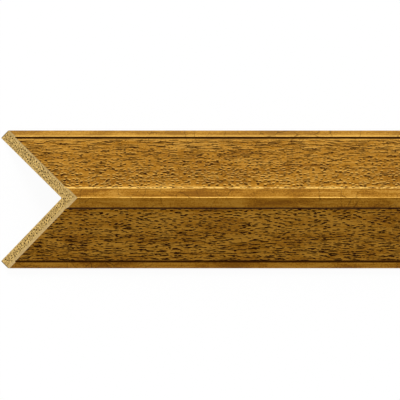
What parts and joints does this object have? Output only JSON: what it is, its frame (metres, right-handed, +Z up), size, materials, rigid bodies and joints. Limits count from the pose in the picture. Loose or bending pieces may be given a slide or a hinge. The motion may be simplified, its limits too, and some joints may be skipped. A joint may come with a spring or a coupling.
{
  "type": "corner panel moulding",
  "caption": "Straight outside-corner moulding with grained panels either side of a raised ridge bead and a mitred end, for covering the corner where panelled walls meet.",
  "frame": {"origin": "on the floor under the middle of the length, with the moulding lying on the back edges of its two legs", "axes": "+X along the stock from the mitred end to the square end, +Y across it, +Z up through the ridge"},
  "size_m": [2.4, 0.0756, 0.0422],
  "materials": {
    "wood_effect": "satin"
  },
  "bodies": {
    "root": {"corner_moulding": "wood_effect"}
  },
  "joints": []
}
